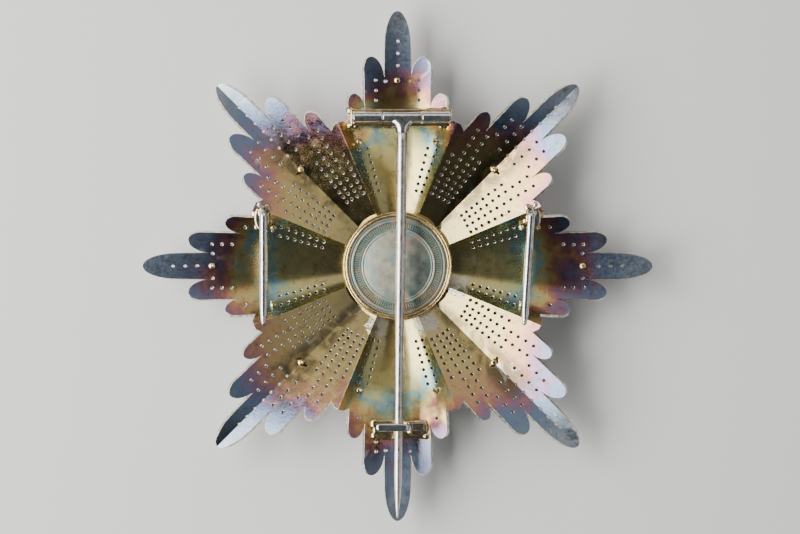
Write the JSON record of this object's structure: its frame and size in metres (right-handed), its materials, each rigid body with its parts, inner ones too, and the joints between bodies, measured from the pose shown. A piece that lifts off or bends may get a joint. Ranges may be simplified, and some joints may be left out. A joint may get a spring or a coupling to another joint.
{
  "type": "breast star",
  "caption": "Pierced silver breast star with rayed arms, shown from the back, with a hinged pin, a catch strip and side hooks for fastening to cloth.",
  "frame": {"origin": "middle of the flat front face on which the star lies, under the centre of the star", "axes": "+Z out of the back of the star, +Y from the centre to the hinge of the pin, +X to the right as seen from behind"},
  "size_m": [0.086, 0.086, 0.0107],
  "materials": {
    "struck_sheet": "tarnished silver with warm and blue interference colours, bright cut edges",
    "front_silver": "plain satin silver",
    "bezel_gilt": "polished, lightly worn",
    "disc_silver": "grey-green tarnished silver",
    "bright_silver": "worn bright silver with brassy solder",
    "pin_metal": "drawn and polished, lightly scratched",
    "stud_gilt": "worn gilt"
  },
  "bodies": {
    "star": {"star_sheet": "struck_sheet", "front_medallion": "front_silver", "disc_bezel": "bezel_gilt", "back_disc": "disc_silver", "hinge_mount": "bright_silver", "hinge_rod": "bright_silver", "catch_hook": "bright_silver", "hook_left": "bright_silver", "hook_right": "bright_silver", "stud_01": "stud_gilt", "stud_02": "stud_gilt", "stud_03": "stud_gilt", "stud_04": "stud_gilt", "stud_05": "stud_gilt", "stud_06": "stud_gilt", "stud_07": "stud_gilt", "stud_08": "stud_gilt", "stud_09": "stud_gilt", "stud_10": "stud_gilt", "stud_11": "stud_gilt", "stud_12": "stud_gilt", "stud_13": "stud_gilt", "stud_14": "stud_gilt", "stud_15": "stud_gilt", "stud_16": "stud_gilt"},
    "pin": {"pin_knuckle": "bright_silver", "pin_stem": "pin_metal"}
  },
  "joints": [
    {"name": "pin_swing", "type": "hinge", "parent": "star", "child": "pin", "pos_m": [0.00082, 0.02492, 0.00935], "axis": [-1, 0, 0], "range_deg": [0, 110], "deforming": ["pin_stem"]}
  ]
}
